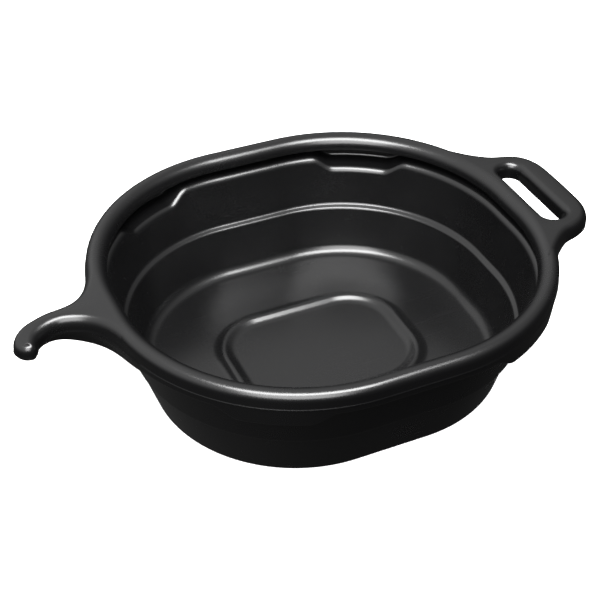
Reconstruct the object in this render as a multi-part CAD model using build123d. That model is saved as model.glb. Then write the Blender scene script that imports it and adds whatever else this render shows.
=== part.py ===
from build123d import *
import math
import os

os.makedirs("parts", exist_ok=True)

# Oil drain pan in black polyethylene, one moulding, split here into its named zones.
# Origin: centre of the standing base. +X towards the loop handle, -X towards the hook
# handle, +Z up. The mouth, the rim and every wall follow one rounded rectangle, offset
# outwards (positive) or inwards (negative) from the mouth line.

# Mouth line of the pan, a little inside the splash lip
MOUTH_HALF_X = 223.6
MOUTH_HALF_Y = 201.2
MOUTH_CORNER_R = 182.8

WALL = 3.0
WIDE = 1200.0
CUT_MARGIN = 1.0

# Levels above the ground
FLOOR_TOP_Z = 3.1
STEP_Z = 58.5
STEP_RISE = 3.3
LEDGE_Z = 120.1
LEDGE_RISE = 4.2
COLLAR_TOP_Z = 129.9
RIM_TOP_Z = 147.0

# Offsets of the inner surface from the mouth line
FLOOR_EDGE = -30.0
LOWER_WALL_TOP = -14.8
UPPER_WALL_FOOT = -8.5
UPPER_WALL_TOP = 1.7
COLLAR_INSIDE = 23.3
COLLAR_LEAN = 0.3
BASE_CORNER_R = 7.9

# How far the outer skin lies below the inner one on the step and on the ledge
STEP_SKIN = 1.8
LEDGE_SKIN = 2.8

# The rolled rim: a tight roll outside its crest and a wider one inside. The lower half of
# the inner roll is the splash lip, which hangs over the mouth.
RIDGE_R = 8.4
RIDGE_OFFSET = 17.9
LIP_INSIDE = 3.3
LIP_START_ANGLE = 135
LIP_BOTTOM_Z = 131.2

# Four pockets where the ledge and the collar drop, one near each rounded corner
POCKET_ANGLES = (60.0, 120.0, 240.0, 300.0)
POCKET_DROP = 12.0
POCKET_HALF_TOP = 17.5
POCKET_HALF_BOTTOM = 9.5
POCKET_DEPTH = 40.0
POCKET_BITE_INSIDE = 4.2
POCKET_BITE_OUTSIDE = 2.5

# Raised frame on the floor, with a shallow dish inside it
PANEL_HALF_X = 114.0
PANEL_HALF_Y = 88.0
PANEL_CORNER_R = 66.0
PANEL_HEIGHT = 5.0
PANEL_CREST_INSET = 9.0
PANEL_DISH_INSET = 19.0
PANEL_DISH_DROP = 0.6
PANEL_FLANK_INSET = 3.6
PANEL_ZONE_TOP = 7.0

# Handles
HANDLE_TOP_Z = 146.5
HANDLE_THICK = 20.8
HANDLE_EDGE_R = 7.5
HANDLE_UNDER_R = 5.0
HOOK_EDGE_R = 5.0
HOOK_THICK = 35.5
HANDLE_ROOT_X = 195.0
GRIP_START_X = 222.0
LOOP_CENTRE_Y = 3.0
SLOT_CENTRE_Y = 2.3
SLOT_X0 = 250.4
SLOT_X1 = 277.0
SLOT_HALF_LENGTH = 57.0
SLOT_CORNER_R = 12.5


def outline(offset, z):
    """The mouth's rounded rectangle, moved outwards by offset, at height z."""
    length = 2 * (MOUTH_HALF_X + offset)
    width = 2 * (MOUTH_HALF_Y + offset)
    return Pos(0, 0, z) * RectangleRounded(length, width, MOUTH_CORNER_R + offset)


def band(lower, upper):
    """A solid slice between two offsets, each given as (offset, height)."""
    return loft([outline(*lower), outline(*upper)])


def stack(levels):
    """Slices piled on one another, one for each step between neighbouring levels."""
    total = band(levels[0], levels[1])
    for lower, upper in zip(levels[1:], levels[2:]):
        total = total + band(lower, upper)
    return total


def block(low, high):
    """A very wide slab between two heights."""
    return Pos(0, 0, (low + high) / 2) * Box(WIDE, WIDE, high - low)


def pocket_prism(angle, low, high, extra):
    """Flared key that marks one corner pocket, wider at the top than at the bottom."""
    centre_x = math.copysign(MOUTH_HALF_X - MOUTH_CORNER_R, math.cos(math.radians(angle)))
    centre_y = math.copysign(MOUTH_HALF_Y - MOUTH_CORNER_R, math.sin(math.radians(angle)))
    reach = MOUTH_CORNER_R + COLLAR_INSIDE + WALL
    half_top = reach * math.sin(math.radians(POCKET_HALF_TOP)) + extra
    half_bottom = reach * math.sin(math.radians(POCKET_HALF_BOTTOM)) + extra
    top_z = LEDGE_Z + LEDGE_RISE
    slope = (half_top - half_bottom) / POCKET_DROP
    bottom = half_bottom + slope * (low - (top_z - POCKET_DROP))
    top = half_bottom + slope * (high - (top_z - POCKET_DROP))
    plane = Plane(
        origin=(centre_x, centre_y, 0),
        x_dir=(-math.sin(math.radians(angle)), math.cos(math.radians(angle)), 0),
        z_dir=(math.cos(math.radians(angle)), math.sin(math.radians(angle)), 0),
    )
    side = plane.y_dir.Z
    corners = [(-bottom, side * low), (bottom, side * low), (top, side * high), (-top, side * high)]
    key = make_face(Polyline(*corners, close=True))
    return extrude(plane.offset(reach - POCKET_DEPTH) * key, 2 * POCKET_DEPTH)


# ---------------------------------------------------------------- body of the pan
outer_levels = [
    (FLOOR_EDGE + WALL, 0.0),
    (LOWER_WALL_TOP + WALL, STEP_Z - STEP_SKIN),
    (UPPER_WALL_FOOT + WALL, STEP_Z + STEP_RISE - STEP_SKIN),
    (UPPER_WALL_TOP + WALL, LEDGE_Z - LEDGE_SKIN),
    (COLLAR_INSIDE + WALL - COLLAR_LEAN, LEDGE_Z + LEDGE_RISE - LEDGE_SKIN),
    (COLLAR_INSIDE + WALL, COLLAR_TOP_Z),
]
inner_levels = [
    (FLOOR_EDGE, FLOOR_TOP_Z),
    (LOWER_WALL_TOP, STEP_Z),
    (UPPER_WALL_FOOT, STEP_Z + STEP_RISE),
    (UPPER_WALL_TOP, LEDGE_Z),
    (COLLAR_INSIDE - COLLAR_LEAN, LEDGE_Z + LEDGE_RISE),
    (COLLAR_INSIDE, COLLAR_TOP_Z),
]
outer_body = stack(outer_levels)
outer_body = fillet(outer_body.edges().group_by(Axis.Z)[0], BASE_CORNER_R)
inner_body = stack(inner_levels)
inner_body = fillet(inner_body.edges().group_by(Axis.Z)[0], BASE_CORNER_R - WALL)

pocket_floor_z = LEDGE_Z - POCKET_DROP
pocket_rim_z = LEDGE_Z + LEDGE_RISE - POCKET_DROP
outer_pocket = stack([
    (UPPER_WALL_TOP - POCKET_BITE_OUTSIDE, pocket_floor_z - LEDGE_SKIN),
    (COLLAR_INSIDE + WALL - COLLAR_LEAN, pocket_rim_z - LEDGE_SKIN),
    (COLLAR_INSIDE + WALL - COLLAR_LEAN, LEDGE_Z + LEDGE_RISE),
])
inner_pocket = stack([
    (UPPER_WALL_TOP - POCKET_BITE_INSIDE, pocket_floor_z),
    (COLLAR_INSIDE - COLLAR_LEAN, pocket_rim_z),
    (COLLAR_INSIDE - COLLAR_LEAN, LEDGE_Z + LEDGE_RISE),
])
key_top = LEDGE_Z + LEDGE_RISE + CUT_MARGIN
for pocket_angle in POCKET_ANGLES:
    outer_key = pocket_prism(pocket_angle, pocket_floor_z - 2 * WALL, key_top, WALL)
    inner_key = pocket_prism(pocket_angle, pocket_floor_z - WALL, key_top, 0.0)
    outer_body = outer_body + (outer_pocket & outer_key)
    inner_body = inner_body + (inner_pocket & inner_key)
body = outer_body - inner_body

# Cut lines between the zones


def panel_outline(inset, z):
    """Rounded rectangle of the raised frame, moved inwards by inset."""
    length = 2 * (PANEL_HALF_X - inset)
    width = 2 * (PANEL_HALF_Y - inset)
    return Pos(0, 0, z) * RectangleRounded(length, width, PANEL_CORNER_R - inset)


def panel_band(lower, upper):
    """A solid slice of the panel between two insets, each given as (inset, height)."""
    return loft([panel_outline(*lower), panel_outline(*upper)])


wall_split_z = STEP_Z - WALL - CUT_MARGIN
upper_split_z = STEP_Z + STEP_RISE + WALL
collar_split_z = pocket_floor_z - 2 * WALL
floor_zone = extrude(outline(FLOOR_EDGE - BASE_CORNER_R, -CUT_MARGIN), PANEL_ZONE_TOP + CUT_MARGIN)
panel_zone = extrude(panel_outline(0.0, -CUT_MARGIN), PANEL_ZONE_TOP + CUT_MARGIN)

floor = (body & floor_zone) - panel_zone
lower_wall = (body & block(-CUT_MARGIN, wall_split_z)) - floor_zone
wall_step = body & block(wall_split_z, upper_split_z)
upper_wall = body & block(upper_split_z, collar_split_z)
collar = body & block(collar_split_z, COLLAR_TOP_Z + CUT_MARGIN)

crest_z = FLOOR_TOP_Z + PANEL_HEIGHT
hollow_z = crest_z - WALL
panel = extrude(panel_outline(0.0, 0.0), FLOOR_TOP_Z)
panel = panel + panel_band((0.0, FLOOR_TOP_Z), (PANEL_CREST_INSET, crest_z))
dish_z = FLOOR_TOP_Z - PANEL_DISH_DROP
panel = panel - panel_band((PANEL_DISH_INSET, dish_z), (PANEL_CREST_INSET + 1.0, crest_z))
hollow = panel_band((PANEL_FLANK_INSET, 0.0), (PANEL_CREST_INSET - 0.4, hollow_z))
hollow = hollow - panel_band((PANEL_DISH_INSET - WALL, 0.0), (PANEL_CREST_INSET + 1.4, hollow_z))
panel = panel - hollow

# ---------------------------------------------------------------- rolled rim and splash lip
rim_path = outline(0.0, 0.0).face().outer_wire()
start = rim_path @ 0
along = rim_path % 0
outward = Vector(along.Y, -along.X, 0)
if outward.dot(Vector(start.X, start.Y, 0)) < 0:
    outward = outward * -1
section_plane = Plane(origin=start, x_dir=outward, z_dir=outward.cross(Vector(0, 0, 1)))


def around_rim(face):
    """Carry a cross-section, drawn as (offset, height), once around the mouth."""
    return sweep(section_plane * face, path=rim_path)


ridge_z = RIM_TOP_Z - RIDGE_R
inner_roll_r = RIDGE_OFFSET - LIP_INSIDE
inner_roll_z = RIM_TOP_Z - inner_roll_r
outer_face = COLLAR_INSIDE + WALL
lip_outside = LIP_INSIDE + WALL


def inner_roll(radius, start_angle, end_angle):
    """Arc of the wide inner roll, in degrees: 90 is the crest, 180 the side of the mouth."""
    return CenterArc((RIDGE_OFFSET, inner_roll_z), radius, start_angle, end_angle - start_angle)


def ridge_section():
    """Rolled ridge: from the splash lip over the crest, down the outer skirt and back underneath."""
    inside = inner_roll(inner_roll_r, LIP_START_ANGLE, 90)
    outside = CenterArc((RIDGE_OFFSET, ridge_z), RIDGE_R, 90, -90)
    skirt_foot = [(outer_face, COLLAR_TOP_Z), (COLLAR_INSIDE, COLLAR_TOP_Z)]
    skirt = Polyline(outside @ 1, *skirt_foot, (COLLAR_INSIDE, ridge_z))
    under_outside = CenterArc((RIDGE_OFFSET, ridge_z), RIDGE_R - WALL, 0, 90)
    under_inside = inner_roll(inner_roll_r - WALL, 90, LIP_START_ANGLE)
    closing = Line(under_inside @ 1, inside @ 0)
    return make_face(Curve() + [inside, outside, skirt, under_outside, under_inside, closing])


def lip_section():
    """Splash lip: the lower half of the inner roll and the short straight edge below it."""
    front = inner_roll(inner_roll_r, LIP_START_ANGLE, 180)
    edge = Polyline(front @ 1, (LIP_INSIDE, LIP_BOTTOM_Z), (lip_outside, LIP_BOTTOM_Z), (lip_outside, inner_roll_z))
    back = inner_roll(inner_roll_r - WALL, 180, LIP_START_ANGLE)
    closing = Line(back @ 1, front @ 0)
    return make_face(Curve() + [front, edge, back, closing])


rim_ridge = around_rim(ridge_section())
splash_lip = around_rim(lip_section())

# ---------------------------------------------------------------- handles
rim_fill = (
    extrude(outline(RIDGE_OFFSET, 0.0), RIM_TOP_Z + CUT_MARGIN)
    + extrude(outline(outer_face, 0.0), ridge_z)
    + around_rim(Pos(RIDGE_OFFSET, ridge_z) * Circle(RIDGE_R))
)
handle_bottom = HANDLE_TOP_Z - HANDLE_THICK

loop_half = [
    (214.0, 126.0),
    (226.0, 114.5),
    (238.0, 100.0),
    (250.0, 89.5),
    (262.0, 83.0),
    (273.0, 79.5),
    (283.0, 76.0),
    (293.0, 69.5),
    (301.0, 60.0),
    (306.0, 47.0),
    (308.0, 30.0),
    (308.5, 0.0),
]


def loop_plan():
    """Flat shape of the loop handle with its grip slot."""
    right = loop_half + [(x, -y) for x, y in reversed(loop_half[:-1])]
    edge = Spline(*right)
    closing = Polyline(edge @ 1, (HANDLE_ROOT_X, -126.0), (HANDLE_ROOT_X, 126.0), edge @ 0)
    plan = make_face(Curve() + [edge, closing])
    slot = RectangleRounded(SLOT_X1 - SLOT_X0, 2 * SLOT_HALF_LENGTH, SLOT_CORNER_R)
    return Pos(0, LOOP_CENTRE_Y) * plan - Pos((SLOT_X0 + SLOT_X1) / 2, SLOT_CENTRE_Y) * slot


def gripped_edges(edges):
    """The edges a hand touches: all but the straight ones buried inside the rim."""
    return [edge for edge in edges if abs(edge.center().X) > GRIP_START_X]


def soft_plate(plan, low, high, top_r, under_r):
    """Plate with rounded upper and lower edges."""
    plate = extrude(Pos(0, 0, low) * plan, high - low)
    plate = fillet(gripped_edges(plate.edges().group_by(Axis.Z)[-1]), top_r)
    return fillet(gripped_edges(plate.edges().group_by(Axis.Z)[0]), under_r)


loop_handle = soft_plate(loop_plan(), handle_bottom, HANDLE_TOP_Z, HANDLE_EDGE_R, HANDLE_UNDER_R) - rim_fill

hook_edge = [
    (-214.0, 122.0),
    (-229.0, 104.0),
    (-240.0, 82.0),
    (-246.5, 61.0),
    (-254.5, 42.0),
    (-264.7, 28.0),
    (-278.0, 18.6),
    (-291.5, 15.6),
    (-305.0, 13.6),
    (-319.0, 8.6),
    (-333.0, 0.4),
    (-342.5, -9.0),
    (-345.5, -19.5),
    (-341.5, -29.0),
    (-334.0, -33.8),
    (-326.5, -33.0),
    (-321.5, -24.5),
    (-310.0, -13.5),
    (-296.0, -8.6),
    (-280.0, -12.0),
    (-265.0, -20.5),
    (-253.0, -37.0),
    (-246.0, -58.0),
    (-240.0, -80.0),
    (-229.0, -104.0),
    (-214.0, -122.0),
]
hook_spline = Spline(*hook_edge)
hook_root = [(-HANDLE_ROOT_X, -122.0), (-HANDLE_ROOT_X, 122.0)]
hook_closing = Polyline(hook_spline @ 1, *hook_root, hook_spline @ 0)
hook_plan = make_face(Curve() + [hook_spline, hook_closing])
hook_bottom = HANDLE_TOP_Z - HOOK_THICK
hook_handle = extrude(Pos(0, 0, hook_bottom) * hook_plan, HANDLE_TOP_Z - hook_bottom)
hook_handle = fillet(gripped_edges(hook_handle.edges().group_by(Axis.Z)[-1]), HOOK_EDGE_R)

# Underside of the hook along x: highest near the tip, deepest where the finger meets the flare
hook_under = [
    (-360.0, 125.6),
    (-332.0, 125.5),
    (-318.0, 124.4),
    (-303.0, 122.3),
    (-290.0, 119.4),
    (-277.0, 116.2),
    (-263.0, 113.9),
    (-252.0, 114.3),
    (-243.0, 117.0),
    (-235.0, 120.6),
    (-222.0, 123.5),
    (-195.0, 124.5),
]
under_curve = Spline(*hook_under)
under_closing = Polyline(under_curve @ 1, (-195.0, STEP_Z), (-360.0, STEP_Z), under_curve @ 0)
under_face = make_face(Curve() + [under_curve, under_closing])
under_cut = extrude(Plane.XZ * under_face, MOUTH_HALF_Y, both=True)
hook_handle = (hook_handle - under_cut) - rim_fill

subparts = {
    "floor": floor,
    "floor_panel": panel,
    "lower_wall": lower_wall,
    "wall_step": wall_step,
    "upper_wall": upper_wall,
    "collar": collar,
    "rim_ridge": rim_ridge,
    "splash_lip": splash_lip,
    "loop_handle": loop_handle,
    "hook_handle": hook_handle,
}
for name, shape in subparts.items():
    export_step(shape, "parts/" + name + ".step")
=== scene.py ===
"""Oil drain pan in black polyethylene: one moulding with a rolled rim, a loop grip and a hooked grip."""

import math

import bpy
import numpy as np
from mathutils import Matrix, Vector
from mathutils.geometry import tessellate_polygon


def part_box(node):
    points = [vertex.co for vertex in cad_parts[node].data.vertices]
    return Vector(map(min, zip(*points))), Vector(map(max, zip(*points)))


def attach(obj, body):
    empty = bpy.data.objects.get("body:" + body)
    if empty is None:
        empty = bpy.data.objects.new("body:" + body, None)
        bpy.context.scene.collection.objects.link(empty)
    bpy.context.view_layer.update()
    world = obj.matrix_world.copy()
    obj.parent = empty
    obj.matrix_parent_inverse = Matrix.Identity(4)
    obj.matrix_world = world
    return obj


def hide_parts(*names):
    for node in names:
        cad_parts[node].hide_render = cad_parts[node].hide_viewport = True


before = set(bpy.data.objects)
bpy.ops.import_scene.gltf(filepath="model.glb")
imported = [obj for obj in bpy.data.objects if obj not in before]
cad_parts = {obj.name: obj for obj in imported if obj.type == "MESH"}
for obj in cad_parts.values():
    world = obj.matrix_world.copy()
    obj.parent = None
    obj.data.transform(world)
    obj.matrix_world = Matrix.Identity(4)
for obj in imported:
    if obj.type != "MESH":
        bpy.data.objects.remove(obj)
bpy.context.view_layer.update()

MM = 0.001

# ------------------------------------------------------------------ driving sizes, in millimetres
# An offset is counted outwards from the mouth's outline, and a Z upwards from the ground.
RIM_REACH = 26.3
rim_low, rim_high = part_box("rim_ridge")
MOUTH_HALF_X = rim_high.x / MM - RIM_REACH
MOUTH_HALF_Y = rim_high.y / MM - RIM_REACH
MOUTH_CORNER_R = 182.8
RIM_TOP = rim_high.z / MM
RIDGE_R = 8.9
FLASH = 0.5
SKIRT = RIM_REACH - FLASH
RIDGE_OFFSET = SKIRT - RIDGE_R
PARTING_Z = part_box("collar")[1].z / MM
RIDGE_UNDER = 143.6
LIP_INSIDE = 3.3
LIP_WALL = 3.0
LIP_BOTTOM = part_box("splash_lip")[0].z / MM

FLOOR_Z = 3.1
FLOOR_START = -70.0
BASE_INSIDE = -29.3
STEP_Z = 58.5
STEP_RISE = 3.3
STEP_INSIDE = -14.9
STEP_WIDTH = 6.5
LEDGE_Z = 120.1
LEDGE_RISE = 4.2
LEDGE_INSIDE = 1.7
COLLAR_INSIDE = 23.0
POCKET_DROP = 12.0
POCKET_PULL = 4.2
POCKET_CENTRES = (60.0, 120.0, 240.0, 300.0)
POCKET_HALF_TOP = 17.5
POCKET_HALF_BOTTOM = 9.5

panel_low, panel_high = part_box("floor_panel")
PANEL_HALF_X = panel_high.x / MM
PANEL_HALF_Y = panel_high.y / MM
PANEL_CORNER_R = 66.0
PANEL_CREST_Z = panel_high.z / MM
PANEL_MIDDLE = 2.0 - PANEL_CORNER_R

GRIP_TOP = RIM_TOP - 0.005
TOP_STRETCH = 1.3
GRIP_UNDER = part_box("loop_handle")[0].z / MM
LOOP_CENTRE_Y = 3.0
SLOT_CENTRE_Y = 2.3
SLOT_X0 = 250.4
SLOT_X1 = 277.0
SLOT_HALF_LENGTH = 57.0
SLOT_CORNER_R = 12.5
SLOT_ROUND = 8.0
ROUND_POINTS = 12


# ------------------------------------------------------------------ shape helpers
def smooth(x):
    """Smooth step from 0 to 1: 3x^2 - 2x^3 of x held between 0 and 1."""
    x = np.clip(x, 0.0, 1.0)
    return x * x * (3.0 - 2.0 * x)


def rounded(corners, steps=6):
    """A line through corners (a, b, radius), each corner replaced by a tangent arc of steps parts,
    or of 3 parts where the radius is under a millimetre."""
    points = [np.array(corners[0][:2], float)[None, :]]
    for before, corner, after in zip(corners, corners[1:], corners[2:]):
        here = np.array(corner[:2], float)
        back = np.array(before[:2], float) - here
        ahead = np.array(after[:2], float) - here
        back /= np.linalg.norm(back)
        ahead /= np.linalg.norm(ahead)
        half_turn = math.acos(np.clip(-back @ ahead, -1.0, 1.0)) / 2.0
        reach = corner[2] * math.tan(half_turn)
        middle = here + (back + ahead) / np.linalg.norm(back + ahead) * corner[2] / math.cos(half_turn)
        start = here + back * reach - middle
        end = here + ahead * reach - middle
        first = math.atan2(start[1], start[0])
        turn = (math.atan2(end[1], end[0]) - first + math.pi) % (2.0 * math.pi) - math.pi
        angles = first + turn * np.linspace(0.0, 1.0, (steps if corner[2] >= 1.0 else 3) + 1)
        points.append(middle + corner[2] * np.stack([np.cos(angles), np.sin(angles)], 1))
    points.append(np.array(corners[-1][:2], float)[None, :])
    return np.concatenate(points)


def around(per_corner=80, per_end=10, per_side=18):
    """Once round a rounded rectangle: the angle and outward normal, and the sign of the corner's centre.
    A point is sign * corner centre + radius * normal; the sign runs from 1 to -1 along the straights."""
    signs = np.array([[1, 1], [-1, 1], [-1, -1], [1, -1], [1, 1]], float)
    angle, sign = [], []
    for k in range(4):
        count = per_side if k % 2 == 0 else per_end
        angle += [k * 90.0 + np.linspace(0.0, 90.0, per_corner, endpoint=False)]
        angle += [np.full(count, (k + 1) * 90.0)]
        share = np.linspace(0.0, 1.0, count, endpoint=False)[:, None]
        sign += [np.tile(signs[k], (per_corner, 1)), signs[k] * (1 - share) + signs[k + 1] * share]
    angle = np.concatenate(angle)
    normal = np.stack([np.cos(np.radians(angle)), np.sin(np.radians(angle))], 1)
    return angle, normal, np.concatenate(sign)


def mesh_object(name, points, faces):
    """A smooth mesh from points in millimetres and faces, riding on the pan."""
    mesh = bpy.data.meshes.new(name)
    mesh.from_pydata((points * MM).tolist(), [], faces)
    mesh.validate()
    mesh.shade_smooth()
    piece = bpy.data.objects.new(name, mesh)
    bpy.context.scene.collection.objects.link(piece)
    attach(piece, "root")
    return piece


def grid_faces(rows, columns, start=0):
    """Quads of a grid of rows that each close on themselves."""
    row = np.arange(rows - 1)[:, None] * columns + start
    here = np.arange(columns)[None, :]
    after = (here + 1) % columns
    quads = np.stack([row + here, row + after, row + columns + after, row + columns + here], -1)
    return quads.reshape(-1, 4).tolist()


def spline(knots, count):
    """Natural cubic through the knots, spaced by chord length, sampled at count points."""
    knots = np.array(knots, float)
    span = np.linalg.norm(np.diff(knots, axis=0), axis=1)
    at = np.concatenate([[0.0], np.cumsum(span)])
    n = len(knots)
    system = np.zeros((n, n))
    right = np.zeros((n, 2))
    system[0, 0] = system[-1, -1] = 1.0
    inner = np.arange(1, n - 1)
    system[inner, inner - 1] = span[:-1]
    system[inner, inner] = 2.0 * (span[:-1] + span[1:])
    system[inner, inner + 1] = span[1:]
    slope = np.diff(knots, axis=0) / span[:, None]
    right[1:-1] = 6.0 * np.diff(slope, axis=0)
    bend = np.linalg.solve(system, right)
    t = np.linspace(0.0, at[-1], count)
    k = np.clip(np.searchsorted(at, t, side="right") - 1, 0, n - 2)
    a = ((at[k + 1] - t) / span[k])[:, None]
    b = 1.0 - a
    h = (span[k] ** 2 / 6.0)[:, None]
    return a * knots[k] + b * knots[k + 1] + ((a ** 3 - a) * bend[k] + (b ** 3 - b) * bend[k + 1]) * h


def outward_normals(line):
    """Unit normals on the right-hand side of a line drawn anticlockwise."""
    along = np.gradient(line, axis=0)
    along /= np.linalg.norm(along, axis=1)[:, None]
    return np.stack([along[:, 1], -along[:, 0]], 1)


# ------------------------------------------------------------------ the pan itself
def pan_moulding():
    """Closed shell. Each row is a rounded rectangle (radius, corner centre, height); the rows run from the
    middle of the floor, up the inside, over the lip and the ridge, down the outside and back under the base.
    In the four pockets a second profile takes over, mixed in by the angle round the corner."""
    angle, normal, sign = around()
    centre = np.array([MOUTH_HALF_X - MOUTH_CORNER_R, MOUTH_HALF_Y - MOUTH_CORNER_R])
    panel_centre = np.array([PANEL_HALF_X - PANEL_CORNER_R, PANEL_HALF_Y - PANEL_CORNER_R])

    panel = rounded([
        (PANEL_MIDDLE, FLOOR_Z - 0.6, 0.0),
        (-19.0, FLOOR_Z - 0.6, 14.0),
        (-9.5, PANEL_CREST_Z + 0.9, 7.0),
        (0.0, FLOOR_Z, 14.0),
        (12.0, FLOOR_Z, 0.0),
    ], 8)
    under_panel = rounded([
        (12.0, 0.0, 0.0),
        (-3.6, 0.0, 4.0),
        (-9.5, PANEL_CREST_Z - 3.0, 3.0),
        (-16.0, 0.0, 4.0),
        (PANEL_MIDDLE, 0.0, 0.0),
    ], 3)

    def walls(drop):
        """Inside and outside profile, with the ledge and the collar lowered by drop."""
        pull = POCKET_PULL * drop / POCKET_DROP
        return rounded([
            (FLOOR_START, FLOOR_Z, 0.0),
            (BASE_INSIDE, FLOOR_Z, 16.0),
            (STEP_INSIDE, STEP_Z, 4.6),
            (STEP_INSIDE + STEP_WIDTH, STEP_Z + STEP_RISE, 4.6),
            (LEDGE_INSIDE - pull, LEDGE_Z - drop, 9.5),
            (COLLAR_INSIDE, LEDGE_Z + LEDGE_RISE - drop, 4.0),
            (COLLAR_INSIDE, RIDGE_UNDER, 5.2),
            (LIP_INSIDE + LIP_WALL, RIDGE_UNDER, 10.8),
            (LIP_INSIDE + LIP_WALL, LIP_BOTTOM, 0.7),
            (LIP_INSIDE, LIP_BOTTOM, 0.5),
            (LIP_INSIDE, RIM_TOP, RIDGE_OFFSET - LIP_INSIDE),
            (SKIRT, RIM_TOP, RIDGE_R),
            (SKIRT, PARTING_Z + 1.1, 0.3),
            (SKIRT + FLASH, PARTING_Z + 0.3, 0.1),
            (SKIRT + FLASH, PARTING_Z - 0.15, 0.1),
            (SKIRT - 0.1, PARTING_Z - 0.8, 0.3),
            (SKIRT - 0.5, LEDGE_Z + 1.8 - drop, 2.4),
            (LEDGE_INSIDE + 3.0 - 0.6 * pull, LEDGE_Z - 3.0 - drop, 3.0),
            (STEP_INSIDE + STEP_WIDTH + 3.0, STEP_Z + STEP_RISE - 1.8, 3.5),
            (STEP_INSIDE + 3.0, STEP_Z - 1.8, 3.5),
            (BASE_INSIDE + 2.9, 0.0, 7.9),
            (FLOOR_START, 0.0, 0.0),
        ], 10)

    plain = walls(0.0)
    pocket = walls(POCKET_DROP)
    away = np.min([np.abs((angle - c + 180.0) % 360.0 - 180.0) for c in POCKET_CENTRES], axis=0)
    share = smooth((POCKET_HALF_TOP - away) / (POCKET_HALF_TOP - POCKET_HALF_BOTTOM))

    share = share[None, :, None]
    blended = plain[:, None, :] * (1 - share) + pocket[:, None, :] * share
    radius = MOUTH_CORNER_R + blended[..., 0]
    wall_xy = sign * centre + radius[..., None] * normal
    wall_rows = np.concatenate([wall_xy, blended[..., 1:]], -1)

    def panel_rows(line):
        """Rows round the panel from a line of (offset from the panel's outline, height)."""
        xy = sign * panel_centre + (PANEL_CORNER_R + line[:, None, :1]) * normal
        z = np.broadcast_to(line[:, None, 1:], xy.shape[:2] + (1,))
        return np.concatenate([xy, z], -1)

    rows = np.concatenate([panel_rows(panel), wall_rows, panel_rows(under_panel)])
    count = len(angle)
    points = rows.reshape(-1, 3)
    faces = grid_faces(len(rows), count)
    faces.append(list(range(count - 1, -1, -1)))
    faces.append(list(range((len(rows) - 1) * count, len(rows) * count)))
    faces = [face[::-1] for face in faces]
    piece = mesh_object("pan_moulding", points, faces)
    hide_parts("floor", "floor_panel", "lower_wall", "wall_step", "upper_wall", "collar",
                "rim_ridge", "splash_lip")
    return piece


# ------------------------------------------------------------------ grips
def crest_line(start, end, count):
    """Part of the ridge's crest between two points near it, walked from start to end."""
    angle, normal, sign = around(400, 60, 120)
    centre = np.array([MOUTH_HALF_X - MOUTH_CORNER_R, MOUTH_HALF_Y - MOUTH_CORNER_R])
    line = sign * centre + (MOUTH_CORNER_R + RIDGE_OFFSET) * normal
    first = int(np.argmin(np.linalg.norm(line - start, axis=1)))
    last = int(np.argmin(np.linalg.norm(line - end, axis=1)))
    total = len(line)
    steps = (last - first) % total
    if steps > total / 2:
        steps -= total
    picks = (first + np.round(np.linspace(0, steps, count)).astype(int)) % total
    return line[picks]


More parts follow.
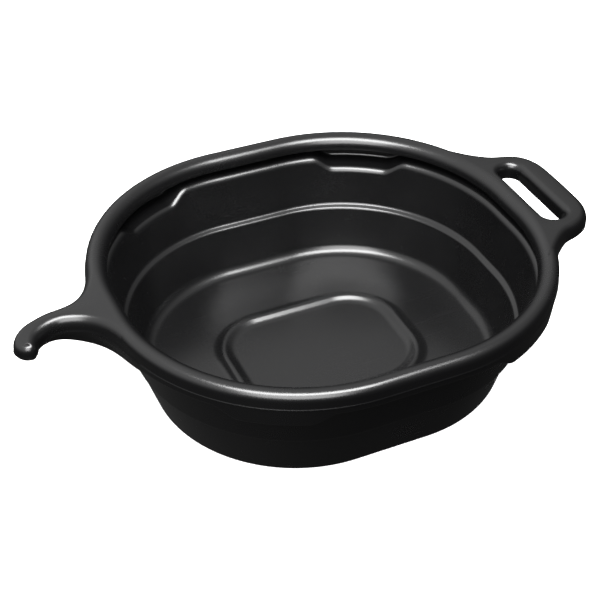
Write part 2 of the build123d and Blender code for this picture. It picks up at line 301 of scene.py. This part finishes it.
def grip(name, edge, under, round_over, slot, node, flash, droop=None):
    """Grip with rounded edges: its outline is the free edge plus a stretch of the ridge's crest, where it
    joins. A column of points at each outline point rounds the top edge, drops down the side past the mould's
    parting line, leans in a little and rounds the lower edge. Each column point is (inset, height). The
    stretch inside the ridge has no inset. Flat faces close top and bottom. under and round_over give the
    underside's height and the width of the upper rounding at each x; droop, where given, lowers the upper
    rounding."""
    turn = np.linspace(0.0, math.pi / 2, ROUND_POINTS)
    low_r = 2.5
    lean = 1.2

    def column(top_r, low):
        """Insets and heights down one side; low is the underside's height at each outline point."""
        height = TOP_STRETCH * np.ravel(top_r)
        top = np.full(len(low), GRIP_TOP)
        down = [(top_r * (1 - math.sin(a)), top - height * (1 - math.cos(a))) for a in turn]
        part = np.full(len(low), PARTING_Z)
        seam = [(0.0, part + 1.1), (-flash, part + 0.3), (-flash, part - 0.1), (0.1, part - 0.7)]
        foot = [(lean + low_r * (1 - math.cos(a)), low + low_r * (1 - math.sin(a))) for a in turn]
        return down + seam + foot

    crest = crest_line(edge[-1], edge[0], 60)
    loop = np.concatenate([edge, crest[1:-1]])
    out = np.concatenate([outward_normals(edge), np.zeros((len(crest) - 2, 2))])
    top_r = round_over(loop[:, 0])[:, None]
    rows = [np.column_stack([loop - out * inset, z]) for inset, z in column(top_r, under(loop[:, 0]))]
    rings = [np.array(rows)]
    if droop is not None:
        rings[0][:ROUND_POINTS, :, 2] -= droop(loop)
    if slot is not None:
        normal, middle, base_r = slot
        low = under(middle[:, 0])
        sides = column(SLOT_ROUND, low)
        rows = [np.column_stack([middle + (base_r + inset) * normal, z]) for inset, z in sides]
        rings.append(np.array(rows))

    points = np.concatenate([ring.reshape(-1, 3) for ring in rings])
    faces, tops, bottoms, start = [], [], [], 0
    for ring in rings:
        side = grid_faces(ring.shape[0], ring.shape[1], start)
        faces += side if start else [face[::-1] for face in side]
        tops.append([ring[0], start])
        bottoms.append([ring[-1], start + (ring.shape[0] - 1) * ring.shape[1]])
        start += ring.shape[0] * ring.shape[1]

    def cap(loops, upward):
        """Triangles between closed loops; the first is the outline, the rest are holes."""
        flat = [[Vector((p[0], p[1], 0.0)) for p in ring] for ring, first in loops]
        index = np.concatenate([np.arange(len(ring)) + first for ring, first in loops])
        triangles = []
        for corners in tessellate_polygon(flat):
            ordered = [int(index[k]) for k in corners]
            pa, pb, pc = points[ordered]
            area = (pb[0] - pa[0]) * (pc[1] - pa[1]) - (pb[1] - pa[1]) * (pc[0] - pa[0])
            triangles.append(ordered if (area > 0) == upward else ordered[::-1])
        return triangles

    faces += cap(tops, True) + cap(bottoms, False)
    piece = mesh_object(name, points, faces)
    piece.data.set_sharp_from_angle(angle=math.radians(50))
    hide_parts(node)
    return piece


def loop_grip():
    """Loop grip: a flared plate with a long slot, as thick as the rim's skirt."""
    half = [(219.5, 121.0), (228.5, 111.0), (238.0, 101.0), (249.0, 91.5), (262.0, 83.5), (274.0, 79.8),
            (285.0, 75.5), (295.0, 68.0), (302.0, 58.0), (306.5, 45.0), (308.0, 28.0), (308.4, 0.0)]
    knots = [(x, -y) for x, y in half] + [(x, y) for x, y in half[-2::-1]]
    edge = spline(knots, 260) + np.array([0.0, LOOP_CENTRE_Y])
    angle, normal, sign = around(24, 12, 12)
    middle_x = (SLOT_X0 + SLOT_X1) / 2
    reach = np.array([(SLOT_X1 - SLOT_X0) / 2 - SLOT_CORNER_R, SLOT_HALF_LENGTH - SLOT_CORNER_R])
    middle = np.array([middle_x, SLOT_CENTRE_Y]) + sign * reach

    def under(x):
        """The underside is flat."""
        return np.full(len(x), GRIP_UNDER)

    def round_over(x):
        """Width of the upper rounding, the same all along."""
        return np.full(len(x), RIDGE_R)

    return grip("loop_grip", edge, under, round_over, (normal, middle, SLOT_CORNER_R), "loop_handle", 0.1)


def hook_grip():
    """Hooked grip: a finger that leaves the rim in a wide flare and bends to one side; deeper at its root."""
    knots = [(-219.5, 121.0), (-230.0, 104.5), (-240.0, 83.0), (-246.5, 61.0), (-254.5, 42.0),
             (-264.7, 28.0), (-278.0, 19.0), (-291.5, 16.0), (-305.0, 13.8), (-319.0, 8.6),
             (-333.0, -0.6), (-342.3, -11.0), (-344.8, -21.0), (-340.9, -29.5), (-334.0, -33.8),
             (-326.5, -33.0), (-321.5, -24.5), (-308.0, -12.0), (-294.0, -8.8), (-279.0, -12.3),
             (-265.0, -21.0), (-254.0, -36.0), (-246.5, -57.0), (-239.5, -82.0), (-230.0, -104.5),
             (-219.5, -121.0)]
    edge = spline(knots, 420)
    depth = [(-360.0, 125.2), (-332.0, 125.1), (-318.0, 124.0), (-303.0, 121.8), (-290.0, 118.7),
             (-277.0, 115.5), (-263.0, 113.2), (-252.0, 113.6), (-243.0, 116.3), (-235.0, 119.9),
             (-222.0, 122.8), (-195.0, 124.0)]
    curve = spline(depth, 200)
    bend_start = np.array([-312.0, 4.0])
    tip_direction = np.array([-0.61, -0.79])
    bend_length = 70.0
    full_drop = 7.0

    def under(x):
        """Height of the underside along the finger."""
        return np.interp(x, curve[:, 0], curve[:, 1])

    def droop(place):
        """How far the top has bent down, along the last stretch of the finger."""
        return full_drop * smooth((place - bend_start) @ tip_direction / bend_length)

    def round_over(x):
        """Width of the upper rounding, which grows from the flare to the finger and shrinks at the tip."""
        return RIDGE_R + 1.2 * smooth((-232.0 - x) / 36.0) - 3.4 * smooth((-316.0 - x) / 20.0)

    return grip("hook_grip", edge, under, round_over, None, "hook_handle", 0.5, droop)


# ------------------------------------------------------------------ shading
class Sum:
    """A number in the shader: the operators used below add the Math nodes."""

    def __init__(self, shader, socket):
        self.shader = shader
        self.socket = socket

    def _math(self, operation, *values):
        sockets = {i: v.socket if isinstance(v, Sum) else v for i, v in enumerate(values)}
        made = self.shader.node("ShaderNodeMath", {"operation": operation}, sockets)
        return Sum(self.shader, made.outputs[0])

    def __add__(self, other):
        return self._math("ADD", self, other)

    def __radd__(self, other):
        return self._math("ADD", other, self)

    def __sub__(self, other):
        return self._math("SUBTRACT", self, other)

    def __mul__(self, other):
        return self._math("MULTIPLY", self, other)

    def __rmul__(self, other):
        return self._math("MULTIPLY", other, self)

    def __pow__(self, other):
        return self._math("POWER", self, other)

    def clamp(self):
        """Held between 0 and 1."""
        return self._math("MINIMUM", self._math("MAXIMUM", self, 0.0), 1.0)


class Shader:
    """The node tree of a material or a world, with one method that adds any node."""

    def __init__(self, owner):
        owner.use_nodes = True
        self.owner = owner
        self.tree = owner.node_tree

    def node(self, kind, settings=None, sockets=None):
        """A new node with its settings, and its inputs by name or number."""
        made = self.tree.nodes.new(kind)
        for key, value in (settings or {}).items():
            setattr(made, key, value)
        self.feed(made, sockets or {})
        return made

    def feed(self, made, sockets):
        """Inputs of a node: a socket or a Sum is linked, anything else is set."""
        for key, value in sockets.items():
            value = value.socket if isinstance(value, Sum) else value
            if isinstance(value, bpy.types.NodeSocket):
                self.tree.links.new(value, made.inputs[key])
            else:
                made.inputs[key].default_value = value

    def noise(self, where, scale, detail=2.0, rough=0.5):
        """Noise from 0 to 1."""
        made = self.node("ShaderNodeTexNoise", {}, {"Vector": where, "Scale": scale, "Detail": detail,
                                                    "Roughness": rough})
        return Sum(self, made.outputs["Fac"])

    def towards(self, where, direction, ends, results=(0.0, 1.0)):
        """Dot product of where and direction, mapped from the pair ends to the pair results and clamped."""
        facing = self.node("ShaderNodeVectorMath", {"operation": "DOT_PRODUCT"}, {0: where, 1: direction})
        made = self.node("ShaderNodeMapRange", {}, {
            "Value": facing.outputs["Value"],
            "From Min": ends[0],
            "From Max": ends[1],
            "To Min": results[0],
            "To Max": results[1],
        })
        return Sum(self, made.outputs["Result"])


def moulded_black():
    """Black polyethylene: a soft sheen, a fine skin, broad cloudy wear in the gloss and faint fine scuffs."""
    shader = Shader(bpy.data.materials.new("moulded_black"))
    place = shader.node("ShaderNodeTexCoord").outputs["Object"]
    cloud = shader.noise(place, 9.0, 3.0)
    skin = shader.noise(place, 1400.0, 2.0)
    pebble = shader.noise(place, 420.0, 1.0)
    stretched = shader.node("ShaderNodeMapping", {}, {"Vector": place, "Scale": (10.0, 90.0, 60.0)})
    scuff = shader.noise(stretched.outputs[0], 1.0, 4.0, 0.6)
    scuffed = ((scuff - 0.60) * 5.0).clamp()
    rough = 0.26 + (cloud - 0.5) * 0.08 + (skin - 0.5) * 0.04 + scuffed * 0.03
    tint = shader.node("ShaderNodeMix", {"data_type": "RGBA"}, {
        "Factor": (0.35 + (cloud - 0.5) * 0.8 + scuffed * 0.3).clamp(),
        "A": (0.0014, 0.0014, 0.0015, 1.0),
        "B": (0.0030, 0.0030, 0.0032, 1.0),
    })
    height = skin * 0.35 + pebble * 0.65
    bump = shader.node("ShaderNodeBump", {}, {"Height": height, "Strength": 0.05, "Distance": 0.0004})
    shader.feed(shader.tree.nodes["Principled BSDF"], {
        "Base Color": tint.outputs[2],
        "Roughness": rough,
        "Normal": bump.outputs[0],
        "IOR": 1.5,
    })
    return shader.owner


# ------------------------------------------------------------------ studio
SKY_LOW = 0.06
SKY_HIGH = 0.95
SKY_UP = (-0.15, 0.10, 0.984)
SKY_SIDE = (-0.95, 0.3, 0.0)
SKY_UP_ENDS = (-0.05, 0.62)
SKY_CURVE = 1.8
SKY_SIDE_ENDS = (-0.5, 0.3)
SKY_SIDE_SHARES = (0.55, 1.35)
FLOOR_HALF = 6.0
FLOOR_GLOW = 0.75
LAMP_AIM = (-0.05, -0.10, 0.14)


def softbox(name, place, width, height, power):
    """Rectangular area light at place, facing the middle of the pan."""
    data = bpy.data.lights.new(name, "AREA")
    data.shape = "RECTANGLE"
    data.size = width
    data.size_y = height
    data.energy = power
    lamp = bpy.data.objects.new(name, data)
    bpy.context.scene.collection.objects.link(lamp)
    lamp.location = place
    lamp.rotation_euler = (Vector(LAMP_AIM) - Vector(place)).to_track_quat("-Z", "Y").to_euler()
    return lamp


def studio_floor():
    """White floor that glows by itself, and is hidden from reflections and from diffuse light."""
    corners = [(x * FLOOR_HALF, y * FLOOR_HALF, 0) for x, y in ((-1, -1), (1, -1), (1, 1), (-1, 1))]
    mesh = bpy.data.meshes.new("studio_floor")
    mesh.from_pydata(corners, [], [(0, 1, 2, 3)])
    floor = bpy.data.objects.new("studio_floor", mesh)
    bpy.context.scene.collection.objects.link(floor)
    shader = Shader(bpy.data.materials.new("studio_white"))
    shader.feed(shader.tree.nodes["Principled BSDF"], {
        "Base Color": (0.86, 0.86, 0.86, 1.0),
        "Roughness": 0.9,
        "Emission Color": (1.0, 1.0, 1.0, 1.0),
        "Emission Strength": FLOOR_GLOW,
    })
    mesh.materials.append(shader.owner)
    floor.visible_glossy = False
    floor.visible_diffuse = False


def studio_sky():
    """Surroundings that brighten upwards along a power curve from a dark horizon, and towards one side."""
    world = bpy.data.worlds.new("studio_world")
    bpy.context.scene.world = world
    sky = Shader(world)
    place = sky.node("ShaderNodeTexCoord").outputs["Generated"]
    rise = sky.towards(place, SKY_UP, SKY_UP_ENDS)
    share = sky.towards(place, SKY_SIDE, SKY_SIDE_ENDS, SKY_SIDE_SHARES)
    sky.feed(sky.tree.nodes["Background"], {
        "Color": (1.0, 1.0, 1.0, 1.0),
        "Strength": (SKY_LOW + SKY_HIGH * rise ** SKY_CURVE) * share,
    })


def studio():
    """The floor, the sky, a large softbox overhead and one in front."""
    studio_floor()
    studio_sky()
    softbox("overhead", (-0.12, -0.40, 1.45), 1.25, 0.60, 66.0)
    softbox("front", (-0.56, -1.20, 1.25), 1.3, 1.0, 38.0)


def camera():
    """Camera looking down on the pan from its front left, with a small roll and a shifted lens."""
    azimuth = math.radians(-26.205)
    height = math.radians(35.974)
    tilt = 0.0240
    distance = 1.5050
    aim = Vector((0.0, 0.0, 0.1403))
    level = Vector((math.sin(azimuth), -math.cos(azimuth), 0.0))
    back = level * math.cos(height) + Vector((0.0, 0.0, math.sin(height)))
    right = Vector((math.cos(azimuth), math.sin(azimuth), 0.0))
    up = back.cross(right)
    side = right * math.cos(tilt) + up * math.sin(tilt)
    head = up * math.cos(tilt) - right * math.sin(tilt)
    place = aim + back * distance
    data = bpy.data.cameras.new("camera")
    data.sensor_width = 36.0
    data.lens = 83.97
    data.shift_x = -0.0384
    data.shift_y = -0.0824
    made = bpy.data.objects.new("camera", data)
    bpy.context.scene.collection.objects.link(made)
    made.matrix_world = Matrix((
        (side.x, head.x, back.x, place.x),
        (side.y, head.y, back.y, place.y),
        (side.z, head.z, back.z, place.z),
        (0.0, 0.0, 0.0, 1.0),
    ))
    bpy.context.scene.camera = made


pieces = [pan_moulding(), loop_grip(), hook_grip()]
bpy.context.scene.view_settings.view_transform = "Standard"
plastic = moulded_black()
for made_piece in pieces:
    made_piece.data.materials.append(plastic)
studio()
camera()
